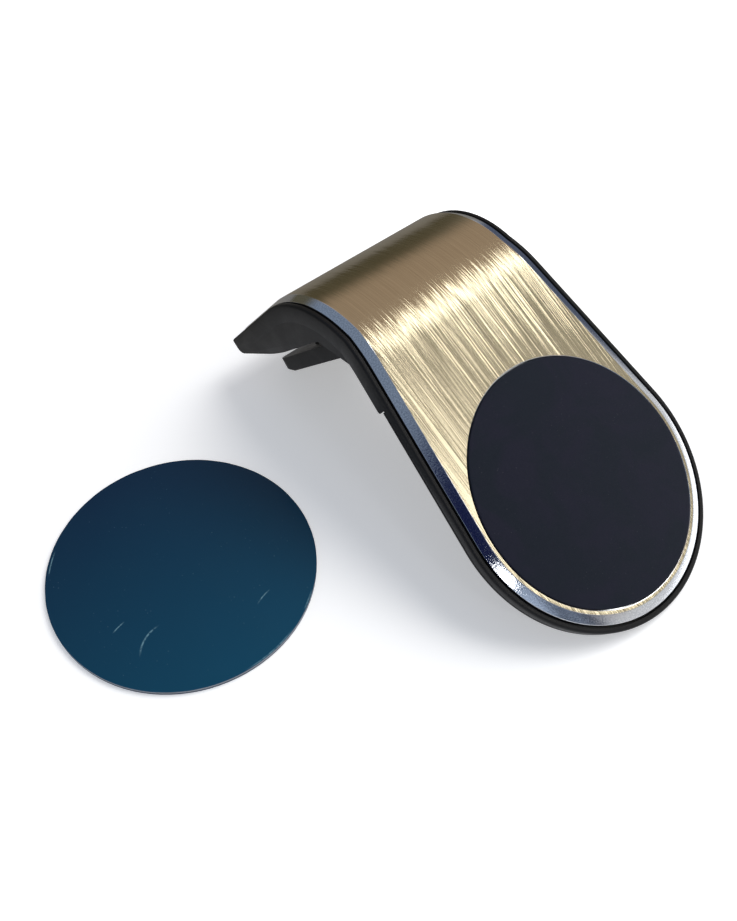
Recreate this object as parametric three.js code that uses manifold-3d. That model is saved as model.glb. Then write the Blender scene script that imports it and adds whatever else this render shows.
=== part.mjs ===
// Magnetic car phone mount: an L-shaped body with a metal face plate, a round magnet head and a
// spring clip for an air vent blade, with the steel disc that goes on the phone lying beside it.
//
// Millimetres and degrees, +Z up. The mount stands on its rear cover and the nose of its jaw.
// In the mount's own group x is across, y runs up the long leg from the middle of the pad, and
// z is the face's outward normal, so a depth d under the face is z = -d.

import * as THREE from 'three';
import { mergeVertices } from 'three/addons/utils/BufferGeometryUtils.js';
import Module from 'manifold-3d';

const wasm = await Module();
wasm.setup();

// Stance and outline of the L-shaped body.
const legTilt = 27.7; // slope of the long leg above the floor
const headRadius = 22.75; // round end of the body
const sideTaper = 7.1; // how far each long side leans in toward the bend
const flatLength = 30.7; // from pad centre to the start of the bend
const taperPastFlat = 6.1; // from there to where the sides turn parallel
const easeRadius = 23.2; // first, gentle part of the bend
const easeAngle = 21.3;
const bendRadius = 17.2; // main part of the bend
const bendAngle = 58.7;
const tabLength = 16.8; // straight part of the short leg

// Face plate and the film that holds it.
const plateThickness = 0.9;
const bevelWidth = 1.4;
const bevelDrop = 0.5;
const lipWidth = 0.85; // plastic lip around the plate
const lipGap = 0.35;
const filmThickness = 0.15;
const filmInset = 0.4;
const layerGap = 0.05; // between layers that lie on each other

// Pad in the plate's round pocket.
const faceRing = 0.65; // gold face left around the pocket
const padThickness = 0.6;
const padGlueThickness = 0.15;
const padProud = 0.15; // stands above the plate
const padGap = 0.1;

// Body shell and rear cover.
const shellWall = 0.55;
const shoulderDepth = 3.3; // full depth of the body above the cover
const coverSetback = 5.7; // from the cover's straight edge to the start of the bend
const coverGap = 0.1;
const coverWall = 0.6;
const coverEdge = 0.5; // chamfer around the cover's back
const coverSeam = 0.4; // between the cover's straight edge and the shoulder

// Magnets, yoke and cover screws.
const magnetCount = 6;
const magnetRadius = 5;
const magnetHeight = 1.8;
const magnetSpacing = 0.2; // between neighbouring magnets
const magnetGap = 0.15;
const magnetFaceWall = 0.7; // plastic between a magnet and the plate's film
const bossWall = 0.65; // around the magnet pockets
const yokeThickness = 0.5;
const domeWall = 0.9; // rear cover behind the magnets
const domeSide = 1.05;
const domeChamfer = 0.8;
const screwCount = 3;
const screwInset = 0.8; // screw centre inside the magnets' outer edge
const screwRadius = 0.75;
const screwLength = 2.5;
const screwHeadRadius = 1.5;
const screwHeadHeight = 0.4;
const screwGap = 0.1;
const notchGap = 0.4; // yoke plate around a screw

// Vent clip. Its own group sits on the jaw's pivot: y runs along the slot, away from the pivot,
// and z points across the slot toward the short leg.
const pivotPastFlat = 6.5; // pivot past the start of the bend, along the long leg
const pivotDepth = 10.46; // pivot under the face
const slotAngle = 72.7; // slot against the long leg
const slotCeiling = 3.25; // underside of the short leg, from the pivot
const slotBack = -2; // closed end of the slot
const flareStart = 11.3; // where the slot's ceiling starts to flare toward the short leg's end
const jawWidth = 21.6;
const jawTop = 0.7;
const jawBottom = -2.1;
const jawStart = 3.2; // where the arm's full width starts, clear of the lugs
const noseRadius = 0.9;
const noseLength = 3.6; // tapered end of the jaw
const noseOffset = -0.15;
const noseFrom = -55; // angles between which the nose is round
const noseTo = 75;
const jawCorner = 3; // rounded corners of the nose, seen from above
const barrelRadius = 2.5;
const barrelWidth = 13.8;
const lugRadius = 2.6;
const lugGap = 0.3;
const lugWidth = 2.6;
const pinRadius = 1;
const pinGap = 0.15;
const gripStart = 4.4; // both grip pads, along the slot
const gripLength = 14;
const upperGripLength = 7;
const gripWidth = 15;
const gripHeight = 1;
const gripProud = 0.35; // upper pad below the short leg's underside
const jawGripProud = 0.8; // lower pad above the jaw
const gripGap = 0.1;

// Torsion spring around the pin.
const springRadius = 1.9;
const springWire = 0.25;
const springTurns = 3;
const springPitch = 0.75;
const springArm = 6.4; // leg along the jaw
const springTailRoom = 1.8; // from the leg toward the body to the body itself
const springRoom = 0.35;

// Disc for the phone, lying beside the mount.
const discRadius = 20;
const discThickness = 0.4;
const discFilm = 0.1;
const discGlue = 0.2;
const discGlueInset = 0.8;
const discLiner = 0.12;
const discSideGap = 6.35; // between the disc's edge and the head's, seen from the front
const discForward = 34.75; // disc centre from the pad's, along the floor

// Facets on curves.
const headSteps = 26;
const easeSteps = 4;
const bendSteps = 10;
const roundSteps = 48;
const smallSteps = 24;
const noseSteps = 8;
const lugSteps = 12;
const springSteps = 90;

const rad = THREE.MathUtils.degToRad;
const overlap = 1; // how far a cutter runs past the face it opens

// Depths under the face, each from the layers above it.
const plateRadius = headRadius - lipWidth - lipGap;
const faceRadius = plateRadius - bevelWidth;
const padPocketRadius = faceRadius - faceRing;
const padRadius = padPocketRadius - padGap;
const padPocketDepth = padThickness + padGlueThickness + 2 * layerGap - padProud;
const recessDepth = plateThickness + filmThickness + 2 * layerGap;
const shellDepth = recessDepth + shellWall;
const coverTop = shellDepth + coverGap;
const coverBottom = coverTop + coverWall;
const magnetPitch = (magnetRadius + magnetSpacing / 2) / Math.sin(Math.PI / magnetCount);
const screwPitch = magnetPitch + magnetRadius - screwInset;
const magnetTop = recessDepth + magnetFaceWall + layerGap;
const bossDepth = magnetTop + magnetHeight + layerGap;
const bossRadius = magnetPitch + magnetRadius + magnetGap + bossWall;
const yokeRadius = magnetPitch + magnetRadius;
const yokeTop = bossDepth + layerGap;
const domeTop = yokeTop + yokeThickness + layerGap;
const domeBottom = domeTop + domeWall;
const domeRadius = bossRadius + magnetGap + domeSide;

// Places along the long leg, from the middle of the pad.
const taperEnd = flatLength + taperPastFlat;
const coverLength = flatLength - coverSetback;
const pivotAlong = flatLength + pivotPastFlat;
const springTail = (pivotDepth - shoulderDepth) / Math.sin(rad(slotAngle)) - springTailRoom;

// Length along the bent centre line of the face.
const easeLength = easeRadius * rad(easeAngle);
const bendLength = bendRadius * rad(bendAngle);
const bodyEnd = flatLength + easeLength + bendLength + tabLength;

const midWall = (recessDepth + shoulderDepth) / 2; // inside the thick part of the body

// Point of the leg's profile at a length s from the pad centre and a depth under the face.
function profile(s, depth) {
  const ease = THREE.MathUtils.clamp((s - flatLength) / easeRadius, 0, rad(easeAngle));
  const turned = THREE.MathUtils.clamp((s - flatLength - easeLength) / bendRadius, 0, rad(bendAngle));
  const turn = ease + turned;
  const straight = Math.min(s, flatLength);
  const tab = Math.max(s - flatLength - easeLength - bendLength, 0);
  const y = straight + easeRadius * Math.sin(ease)
    + bendRadius * (Math.sin(turn) - Math.sin(ease)) + tab * Math.cos(turn);
  const z = easeRadius * (Math.cos(ease) - 1)
    + bendRadius * (Math.cos(turn) - Math.cos(ease)) - tab * Math.sin(turn);
  return new THREE.Vector2(y - depth * Math.sin(turn), z - depth * Math.cos(turn));
}

function halfWidth(radius, s) {
  const t = rad(sideTaper);
  return radius / Math.cos(t) - Math.tan(t) * Math.min(s, taperEnd);
}

// Lengths at which a strip gets a cross-section, with its half width there.
function stations(radius, start, end) {
  const list = [];
  const sweep = Math.PI / 2 + rad(sideTaper);
  if (start === null) {
    for (let i = 0; i <= headSteps; i += 1) {
      const a = (i / headSteps) * sweep;
      list.push({ s: -radius * Math.cos(a), half: radius * Math.sin(a) });
    }
  } else {
    list.push({ s: start, half: halfWidth(radius, start) });
  }
  const marks = [taperEnd];
  for (let i = 0; i <= easeSteps; i += 1) marks.push(flatLength + (i / easeSteps) * easeLength);
  for (let i = 1; i <= bendSteps; i += 1) {
    marks.push(flatLength + easeLength + (i / bendSteps) * bendLength);
  }
  marks.sort((a, b) => a - b);
  const from = list[list.length - 1].s;
  for (const s of marks) {
    if (s > from + 0.01 && s < end - 0.01) list.push({ s, half: halfWidth(radius, s) });
  }
  list.push({ s: end, half: halfWidth(radius, end) });
  return list;
}

// Closed strip that follows the bend. Each layer is a depth and an outline radius, top first;
// the straight far end moves in by as much as the outline does.
function strip(layers, end, start = null) {
  const widest = Math.max(...layers.map((layer) => layer.radius));
  const rings = layers.map(({ depth, radius }) => {
    const list = stations(radius, start, end - (widest - radius));
    const side = (sign) => list.map(({ s, half }) => {
      const p = profile(s, depth);
      return [sign * half, p.x, p.y];
    });
    return [...side(-1), ...side(1).reverse()];
  });
  return ladder(rings);
}

// Joins equal rings with quads, and closes the first and last ring rung by rung.
function ladder(rings) {
  const position = [];
  const triangle = (a, b, c) => {
    const area = new THREE.Triangle(
      new THREE.Vector3(...a), new THREE.Vector3(...b), new THREE.Vector3(...c)).getArea();
    if (area > 1e-6) position.push(...a, ...c, ...b);
  };
  const quad = (a, b, c, d) => {
    triangle(a, b, c);
    triangle(a, c, d);
  };
  const count = rings[0].length;
  for (let r = 0; r + 1 < rings.length; r += 1) {
    for (let i = 0; i < count; i += 1) {
      const j = (i + 1) % count;
      quad(rings[r][i], rings[r + 1][i], rings[r + 1][j], rings[r][j]);
    }
  }
  const top = rings[0];
  const bottom = rings[rings.length - 1];
  for (let i = 0; i < count / 2 - 1; i += 1) {
    const k = count - 1 - i;
    quad(top[i], top[i + 1], top[k - 1], top[k]);
    quad(bottom[k], bottom[k - 1], bottom[i + 1], bottom[i]);
  }
  const geometry = new THREE.BufferGeometry();
  geometry.setAttribute('position', new THREE.Float32BufferAttribute(position, 3));
  return mergeVertices(geometry, 1e-5);
}

// three.js geometry to a solid, and back.
function solid(geometry) {
  const plain = geometry.clone();
  plain.deleteAttribute('normal');
  plain.deleteAttribute('uv');
  const merged = mergeVertices(plain, 1e-5);
  return new wasm.Manifold(new wasm.Mesh({
    numProp: 3,
    vertProperties: merged.attributes.position.array,
    triVerts: Uint32Array.from(merged.index.array),
  }));
}

function geometryOf(body) {
  const mesh = body.getMesh();
  const geometry = new THREE.BufferGeometry();
  geometry.setAttribute('position', new THREE.Float32BufferAttribute(mesh.vertProperties, 3));
  geometry.setIndex(Array.from(mesh.triVerts));
  return geometry;
}

function join(first, ...others) {
  return others.reduce((body, next) => body.add(solid(next)), solid(first));
}

function cut(body, ...cutters) {
  return cutters.reduce((rest, cutter) => rest.subtract(solid(cutter)), body);
}

// Round block along z between two depths under the face.
function round(radius, from, to, x = 0, y = 0, steps = roundSteps) {
  const geometry = new THREE.CylinderGeometry(radius, radius, to - from, steps);
  geometry.rotateX(Math.PI / 2);
  geometry.translate(x, y, -(from + to) / 2);
  return geometry;
}

// Round bar along x.
function bar(radius, from, to, y = 0, z = 0, steps = smallSteps) {
  const geometry = new THREE.CylinderGeometry(radius, radius, to - from, steps);
  geometry.rotateZ(Math.PI / 2);
  geometry.translate((from + to) / 2, y, z);
  return geometry;
}

function block(x, y, z) {
  const geometry = new THREE.BoxGeometry(x[1] - x[0], y[1] - y[0], z[1] - z[0]);
  geometry.translate((x[0] + x[1]) / 2, (y[0] + y[1]) / 2, (z[0] + z[1]) / 2);
  return geometry;
}

// Side view outline, points (y, z), extruded across the part.
function sideExtrusion(points, width) {
  const shape = new THREE.Shape(points.map((p) => new THREE.Vector2(p.x, p.y)));
  const geometry = new THREE.ExtrudeGeometry(shape, { depth: width, bevelEnabled: false });
  geometry.translate(0, 0, -width / 2);
  geometry.applyMatrix4(new THREE.Matrix4().set(
    0, 0, 1, 0,
    1, 0, 0, 0,
    0, 1, 0, 0,
    0, 0, 0, 1));
  return geometry;
}

// Places of the magnets and of the screws between them.
function ringPlaces(count, pitch, firstAngle) {
  return Array.from({ length: count }, (_, i) => {
    const a = rad(firstAngle + (i * 360) / count);
    return { x: pitch * Math.cos(a), y: pitch * Math.sin(a) };
  });
}
const magnetPlaces = ringPlaces(magnetCount, magnetPitch, 0);
const screwPlaces = ringPlaces(screwCount, screwPitch, 180 / magnetCount);

// Materials.
const finish = (color, roughness, metalness) => (
  new THREE.MeshStandardMaterial({ color, roughness, metalness }));
const goldAluminium = finish('#b8a883', 0.35, 1);
const blackPlastic = finish('#202124', 0.6, 0);
const padMaterial = finish('#262a33', 0.75, 0);
const filmMaterial = finish('#d9d9d2', 0.8, 0);
const nickel = finish('#b5b6b8', 0.25, 1);
const steel = finish('#8d9093', 0.4, 1);
const silicone = finish('#17181a', 0.85, 0);
const blueFilm = finish('#17456a', 0.2, 0);
const linerPaper = finish('#e4e1d8', 0.8, 0);

const mount = new THREE.Group();
const clip = new THREE.Group();
clip.position.set(0, pivotAlong, -pivotDepth);
clip.rotation.x = -rad(slotAngle);
clip.updateMatrix();
mount.add(clip);
const discKit = new THREE.Group();

function piece(group, name, shape, material) {
  const geometry = shape.isBufferGeometry ? shape : geometryOf(shape);
  const mesh = new THREE.Mesh(geometry, material);
  mesh.name = name;
  group.add(mesh);
  return mesh;
}

const inClip = (geometry) => geometry.clone().applyMatrix4(clip.matrix);

function facePlate() {
  const sheet = strip([
    { depth: 0, radius: faceRadius },
    { depth: bevelDrop, radius: plateRadius },
    { depth: plateThickness, radius: plateRadius },
  ], bodyEnd - lipWidth - lipGap);
  piece(mount, 'face_plate', cut(solid(sheet), round(padPocketRadius, -overlap, padPocketDepth)),
    goldAluminium);
  const top = plateThickness + layerGap;
  const radius = plateRadius - filmInset;
  piece(mount, 'plate_film', strip([{ depth: top, radius }, { depth: top + filmThickness, radius }],
    bodyEnd - lipWidth - lipGap - filmInset), filmMaterial);
}

function pad() {
  const bottom = padThickness - padProud;
  piece(mount, 'magnet_pad', round(padRadius, -padProud, bottom), padMaterial);
  const top = bottom + layerGap;
  piece(mount, 'pad_glue', round(padRadius - padGap, top, top + padGlueThickness), filmMaterial);
}

// Outline of the thick root under the bend and the short leg, down to the slot's ceiling.
function wedgeOutline() {
  const toMount = (y, z) => {
    const p = new THREE.Vector3(0, y, z).applyMatrix4(clip.matrix);
    return new THREE.Vector2(p.y, p.z);
  };
  const points = [
    toMount(slotBack, slotCeiling),
    toMount(flareStart, slotCeiling),
    profile(bodyEnd, shoulderDepth),
    profile(bodyEnd, midWall),
  ];
  const steps = easeSteps + bendSteps;
  const curved = easeLength + bendLength;
  for (let i = steps; i >= 0; i -= 1) {
    points.push(profile(flatLength + (i / steps) * curved, midWall));
  }
  return points;
}

// Lug that holds the pin, from the pivot up into the body.
function lug(from, to) {
  const arc = [];
  for (let i = 0; i <= lugSteps; i += 1) {
    const a = -Math.PI / 2 + (i / lugSteps) * Math.PI;
    arc.push(new THREE.Vector2(lugRadius * Math.cos(a), lugRadius * Math.sin(a)));
  }
  const reach = midWall - pivotDepth;
  const points = [...arc, new THREE.Vector2(reach, lugRadius), new THREE.Vector2(reach, -lugRadius)];
  const geometry = sideExtrusion(points, to - from);
  geometry.translate((from + to) / 2, 0, 0);
  return geometry;
}

function bodyShell() {
  const lipTop = bevelDrop;
  const shoulderStart = coverLength + coverSeam;
  const wedgeWidth = 2 * halfWidth(headRadius, taperEnd);
  const lugInner = barrelWidth / 2 + lugGap;
  const lugOuter = lugInner + lugWidth;
  const solidBody = join(
    strip([{ depth: lipTop, radius: headRadius }, { depth: shellDepth, radius: headRadius }], bodyEnd),
    strip([{ depth: lipTop, radius: headRadius }, { depth: shoulderDepth, radius: headRadius }],
      bodyEnd, shoulderStart),
    sideExtrusion(wedgeOutline(), wedgeWidth),
    round(bossRadius, recessDepth - overlap, bossDepth),
    inClip(lug(-lugOuter, -lugInner)),
    inClip(lug(lugInner, lugOuter)),
  );
  const plateRoom = plateRadius + lipGap;
  const gripEnd = gripStart + upperGripLength;
  const cutters = [
    strip([{ depth: -overlap, radius: plateRoom }, { depth: recessDepth, radius: plateRoom }],
      bodyEnd - lipWidth),
    inClip(bar(pinRadius + pinGap, -lugOuter - overlap, lugOuter + overlap)),
    inClip(block([-gripWidth / 2 - gripGap, gripWidth / 2 + gripGap],
      [gripStart - gripGap, gripEnd + gripGap],
      [slotCeiling - overlap, slotCeiling - gripProud + gripHeight + layerGap])),
  ];
  for (const { x, y } of magnetPlaces) {
    cutters.push(round(magnetRadius + magnetGap, magnetTop - layerGap, bossDepth + overlap, x, y,
      smallSteps));
  }
  for (const { x, y } of screwPlaces) {
    const tip = domeBottom - screwHeadHeight - screwLength - screwGap;
    cutters.push(round(screwRadius + screwGap, tip, bossDepth + overlap, x, y, smallSteps));
  }
  piece(mount, 'body_shell', cut(solidBody, ...cutters), blackPlastic);
}

function rearCover() {
  const flat = strip([
    { depth: coverTop, radius: headRadius },
    { depth: coverBottom - coverEdge / 2, radius: headRadius },
    { depth: coverBottom, radius: headRadius - coverEdge },
  ], coverLength);
  const dome = new THREE.LatheGeometry([
    new THREE.Vector2(0, coverTop),
    new THREE.Vector2(domeRadius, coverTop),
    new THREE.Vector2(domeRadius, domeBottom - domeChamfer),
    new THREE.Vector2(domeRadius - domeChamfer, domeBottom),
    new THREE.Vector2(0, domeBottom),
  ], roundSteps);
  dome.rotateX(-Math.PI / 2);
  const cutters = [round(bossRadius + magnetGap, coverTop - overlap, domeTop)];
  for (const { x, y } of screwPlaces) {
    const seat = domeBottom - screwHeadHeight - layerGap;
    cutters.push(round(screwRadius + screwGap, domeTop - overlap, domeBottom + overlap, x, y, smallSteps));
    cutters.push(round(screwHeadRadius + screwGap, seat, domeBottom + overlap, x, y, smallSteps));
  }
  piece(mount, 'rear_cover', cut(join(flat, dome), ...cutters), blackPlastic);
}

function magnets() {
  magnetPlaces.forEach(({ x, y }, i) => {
    piece(mount, `magnet_${i + 1}`,
      round(magnetRadius, magnetTop, magnetTop + magnetHeight, x, y, smallSteps), nickel);
  });
  const notches = screwPlaces.map(({ x, y }) => (
    round(screwRadius + notchGap, yokeTop - overlap, domeTop + overlap, x, y, smallSteps)));
  piece(mount, 'yoke_plate', cut(solid(round(yokeRadius, yokeTop, yokeTop + yokeThickness)), ...notches),
    steel);
}

function coverScrews() {
  screwPlaces.forEach(({ x, y }, i) => {
    const under = domeBottom - screwHeadHeight;
    const body = join(
      round(screwRadius, under - screwLength, domeBottom - screwHeadHeight / 2, x, y, smallSteps),
      round(screwHeadRadius, under, domeBottom, x, y, smallSteps),
    );
    piece(mount, `cover_screw_${i + 1}`, body, steel);
  });
}

// Height of the standing plane under the middle of the pad, at the lowest edge of the rear cover.
function standHeight() {
  const t = rad(legTilt);
  const below = (radius, depth) => radius * Math.sin(t) + depth * Math.cos(t);
  return Math.max(
    below(headRadius, coverBottom - coverEdge / 2),
    below(headRadius - coverEdge, coverBottom),
    below(domeRadius - domeChamfer, domeBottom),
    below(domeRadius, domeBottom - domeChamfer));
}

// Jaw length from the pivot to the middle of its nose, which touches the standing plane.
function noseAlong() {
  const t = rad(legTilt);
  const down = rad(slotAngle - legTilt);
  const pivotHeight = pivotAlong * Math.sin(t) - pivotDepth * Math.cos(t);
  const drop = pivotHeight + standHeight() + noseOffset * Math.cos(down) - noseRadius;
  return drop / Math.sin(down);
}

function jawOutline() {
  const tip = noseAlong();
  const shoulder = tip - noseLength;
  const points = [
    new THREE.Vector2(0, jawTop),
    new THREE.Vector2(0, jawBottom),
    new THREE.Vector2(shoulder, jawBottom),
  ];
  for (let i = 0; i <= noseSteps; i += 1) {
    const a = rad(noseFrom + (i / noseSteps) * (noseTo - noseFrom));
    points.push(new THREE.Vector2(
      tip + noseRadius * Math.cos(a), noseOffset + noseRadius * Math.sin(a)));
  }
  points.push(new THREE.Vector2(shoulder, jawTop));
  return points;
}

// Plan view of the arm: full width past the lugs, narrow between them, round at the nose.
function jawPlan() {
  const end = noseAlong() + noseRadius + overlap;
  const half = jawWidth / 2;
  const narrow = barrelWidth / 2;
  const shape = new THREE.Shape();
  shape.moveTo(-narrow, -overlap);
  shape.lineTo(narrow, -overlap);
  shape.lineTo(narrow, jawStart);
  shape.lineTo(half, jawStart);
  const corner = end - overlap - jawCorner;
  shape.lineTo(half, corner);
  shape.absarc(half - jawCorner, corner, jawCorner, 0, Math.PI / 2);
  shape.absarc(jawCorner - half, corner, jawCorner, Math.PI / 2, Math.PI);
  shape.lineTo(-half, jawStart);
  shape.lineTo(-narrow, jawStart);
  const depth = 2 * barrelRadius + 2 * overlap;
  const geometry = new THREE.ExtrudeGeometry(shape, { depth, bevelEnabled: false, curveSegments: 8 });
  geometry.translate(0, 0, -depth / 2);
  return geometry;
}

function clipJaw() {
  const springHalf = (springTurns * springPitch) / 2 + springWire + springRoom;
  const gripEnd = gripStart + gripLength;
  const arm = solid(sideExtrusion(jawOutline(), jawWidth)).intersect(solid(jawPlan()));
  const barrel = solid(bar(barrelRadius, -barrelWidth / 2, barrelWidth / 2));
  const legX = -(springTurns * springPitch) / 2;
  const jaw = cut(arm.add(barrel),
    bar(pinRadius + pinGap, -jawWidth, jawWidth),
    block([-springHalf, springHalf],
      [-barrelRadius - overlap, springRadius + springWire + springRoom],
      [-barrelRadius - overlap, barrelRadius + overlap]),
    block([legX - springWire - springRoom / 2, legX + springWire + springRoom / 2],
      [0, springArm + springRoom],
      [jawBottom - overlap, -springRadius + springWire + gripGap]),
    block([-gripWidth / 2 - gripGap, gripWidth / 2 + gripGap],
      [gripStart - gripGap, gripEnd + gripGap],
      [jawTop + jawGripProud - gripHeight - layerGap, jawTop + overlap]));
  piece(clip, 'clip_jaw', jaw, blackPlastic);
}

function gripPads() {
  const half = gripWidth / 2;
  const upper = slotCeiling - gripProud;
  piece(clip, 'upper_grip_pad',
    block([-half, half], [gripStart, gripStart + upperGripLength], [upper, upper + gripHeight]), silicone);
  const lower = jawTop + jawGripProud;
  piece(clip, 'lower_grip_pad',
    block([-half, half], [gripStart, gripStart + gripLength], [lower - gripHeight, lower]), silicone);
}

function pivotPin() {
  const end = barrelWidth / 2 + lugGap + lugWidth;
  piece(clip, 'jaw_pin', bar(pinRadius, -end, end), steel);
}

// Wire path: in along the jaw, round the pin, and out toward the body.
class SpringPath extends THREE.Curve {
  getPoint(t, target = new THREE.Vector3()) {
    const coil = 2 * Math.PI * springRadius * springTurns;
    const along = t * (springArm + coil + springTail);
    const half = (springTurns * springPitch) / 2;
    if (along < springArm) return target.set(-half, springArm - along, -springRadius);
    if (along > springArm + coil) return target.set(half, -(along - springArm - coil), -springRadius);
    const part = (along - springArm) / coil;
    const a = -Math.PI / 2 - part * springTurns * 2 * Math.PI;
    return target.set(-half + part * 2 * half, springRadius * Math.cos(a), springRadius * Math.sin(a));
  }
}

function jawSpring() {
  const section = new THREE.Shape();
  section.absarc(0, 0, springWire, 0, 2 * Math.PI);
  const geometry = new THREE.ExtrudeGeometry(section, {
    steps: springSteps,
    curveSegments: 3,
    extrudePath: new SpringPath(),
  });
  piece(clip, 'jaw_spring', geometry, steel);
}

// Phone disc, from the floor up: liner, glue, steel and the film that protects it.
function phoneDisc() {
  const x = -(headRadius + discSideGap + discRadius);
  let height = 0;
  const layer = (name, radius, thickness, material) => {
    const geometry = round(radius, -(height + thickness), -height, x, discForward, 2 * roundSteps);
    piece(discKit, name, geometry, material);
    height += thickness;
  };
  layer('release_liner', discRadius, discLiner, linerPaper);
  layer('phone_plate_glue', discRadius - discGlueInset, discGlue, filmMaterial);
  layer('phone_plate', discRadius, discThickness, steel);
  layer('protective_film', discRadius, discFilm, blueFilm);
}

facePlate();
pad();
bodyShell();
rearCover();
magnets();
coverScrews();
clipJaw();
gripPads();
pivotPin();
jawSpring();
phoneDisc();

// The mount stands on the floor; the origin is at the bottom centre of the whole set.
mount.rotation.x = rad(legTilt);
mount.position.z = standHeight();
const phoneMount = new THREE.Group();
phoneMount.add(mount, discKit);
const footprint = new THREE.Box3().setFromObject(phoneMount, true);
const middle = footprint.getCenter(new THREE.Vector3());
phoneMount.position.set(-middle.x, -middle.y, 0);
phoneMount.updateMatrixWorld(true);

export default phoneMount;
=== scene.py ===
import math
import bmesh
import bpy
from mathutils import Matrix, Vector


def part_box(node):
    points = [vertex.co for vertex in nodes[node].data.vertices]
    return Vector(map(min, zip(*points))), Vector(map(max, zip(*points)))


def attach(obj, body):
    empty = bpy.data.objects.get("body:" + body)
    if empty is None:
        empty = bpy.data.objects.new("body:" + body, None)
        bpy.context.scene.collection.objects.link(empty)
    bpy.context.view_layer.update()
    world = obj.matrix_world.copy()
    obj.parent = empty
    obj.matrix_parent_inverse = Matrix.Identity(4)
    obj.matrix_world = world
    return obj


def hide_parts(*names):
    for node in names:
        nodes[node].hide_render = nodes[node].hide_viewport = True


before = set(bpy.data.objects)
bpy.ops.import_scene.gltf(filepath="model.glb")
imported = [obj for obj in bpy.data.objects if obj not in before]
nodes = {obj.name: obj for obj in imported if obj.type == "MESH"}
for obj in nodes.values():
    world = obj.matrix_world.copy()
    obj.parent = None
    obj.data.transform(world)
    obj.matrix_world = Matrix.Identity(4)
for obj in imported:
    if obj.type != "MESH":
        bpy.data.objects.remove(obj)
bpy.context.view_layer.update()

mm = 0.001
rad = math.radians
bpy.ops.object.select_all(action="DESELECT")  # the frame arrives selected

# Pieces are modelled in millimetres, flat or in the clip's own axes, and put in place at the end.
# Leg axes: x across, y up the long leg from the pad's middle, z out of the face.
leg = {"tilt": 27.7, "headRadius": 22.75, "taper": 7.1, "flat": 30.7, "taperPastFlat": 6.1,
       "easeRadius": 23.2, "easeAngle": 21.3, "bendRadius": 17.2, "bendAngle": 58.7, "tab": 16.8,
       "headSteps": 96, "easeSteps": 12, "bendSteps": 34}
plate = {"thickness": 0.9, "bevelWidth": 1.4, "bevelDrop": 0.5, "lip": 0.85, "gap": 0.35,
         "edge": 0.07, "lowerEdge": 0.05, "pocketRadius": 19.5, "pocketDepth": 0.7,
         "pocketChamfer": 0.12}
pad = {"thickness": 0.6, "proud": 0.15, "radius": 19.4, "round": 0.16, "skinEdge": 0.25, "skinRise": 0.03}

padLow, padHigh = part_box("magnet_pad")
padMid = (padLow + padHigh) / 2
faceNormal = Matrix.Rotation(rad(leg["tilt"]), 3, "X") @ Vector((0, 0, 1))
faceMid = padMid + faceNormal * (pad["thickness"] / 2 - pad["proud"]) * mm
legToWorld = Matrix.Translation(faceMid) @ Matrix.Rotation(rad(leg["tilt"]), 4, "X")

slotAngle = 72.7  # vent slot against the long leg
pinLow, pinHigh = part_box("jaw_pin")
pivot = (pinLow + pinHigh) / 2
clipToWorld = Matrix.Translation(pivot) @ Matrix.Rotation(rad(leg["tilt"] - slotAngle), 4, "X")

discLow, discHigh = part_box("protective_film")
discMid = Vector(((discLow.x + discHigh.x) / 2, (discLow.y + discHigh.y) / 2, 0))
discToWorld = Matrix.Translation(discMid)

easeLength = leg["easeRadius"] * rad(leg["easeAngle"])
bendLength = leg["bendRadius"] * rad(leg["bendAngle"])
bendEnd = leg["flat"] + easeLength + bendLength
legEnd = bendEnd + leg["tab"]
taperEnd = leg["flat"] + leg["taperPastFlat"]


camera = {"target": Vector((-19.75, 25.53, -2.93)) * mm, "distance": 123.28 * mm,
          "azimuth": -47.2, "elevation": 51.67, "roll": 3.81, "lens": 31.39,
          "clipStart": 0.005}


def fromAngles(azimuth, elevation):  # direction toward a light or the camera
    a, e = rad(azimuth), rad(elevation)
    return Vector((math.sin(a) * math.cos(e), -math.cos(a) * math.cos(e), math.sin(e)))


def addCamera(c):
    back = fromAngles(c["azimuth"], c["elevation"])
    level = Vector((0, 0, 1)).cross(back).normalized()
    upright = back.cross(level)
    roll = rad(c["roll"])
    right = level * math.cos(roll) + upright * math.sin(roll)
    up = upright * math.cos(roll) - level * math.sin(roll)
    bpy.ops.object.camera_add()
    eye = bpy.context.object
    eye.name = "camera"
    eye.data.lens = c["lens"]
    eye.data.clip_start = c["clipStart"]
    place = faceMid + c["target"] + back * c["distance"]
    eye.matrix_world = Matrix.Translation(place) @ Matrix((right, up, back)).transposed().to_4x4()
    bpy.context.scene.camera = eye


lights = {
    "bandBox": {"toward": (0.62, -0.085, 0.78), "away": 0.5, "size": (0.07, 0.34), "watts": 0.30,
                "tint": (1.0, 1.0, 0.96), "mirrored": True},
    "frontBox": {"toward": (0.50, -0.58, 0.64), "away": 0.5, "size": (0.10, 0.24), "watts": 0.17,
                 "tint": (1.0, 0.99, 0.95), "mirrored": True},
    "glint": {"toward": (-0.135, -0.72, 0.68), "away": 0.5, "size": (0.06, 0.035), "watts": 0.075,
              "tint": (1.0, 1.0, 1.0), "mirrored": True},
    "softKey": {"toward": (0.50, -0.10, 0.86), "away": 0.8, "size": (0.50, 0.50), "watts": 3.2,
                "tint": (1.0, 1.0, 1.0), "mirrored": False},
}


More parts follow.
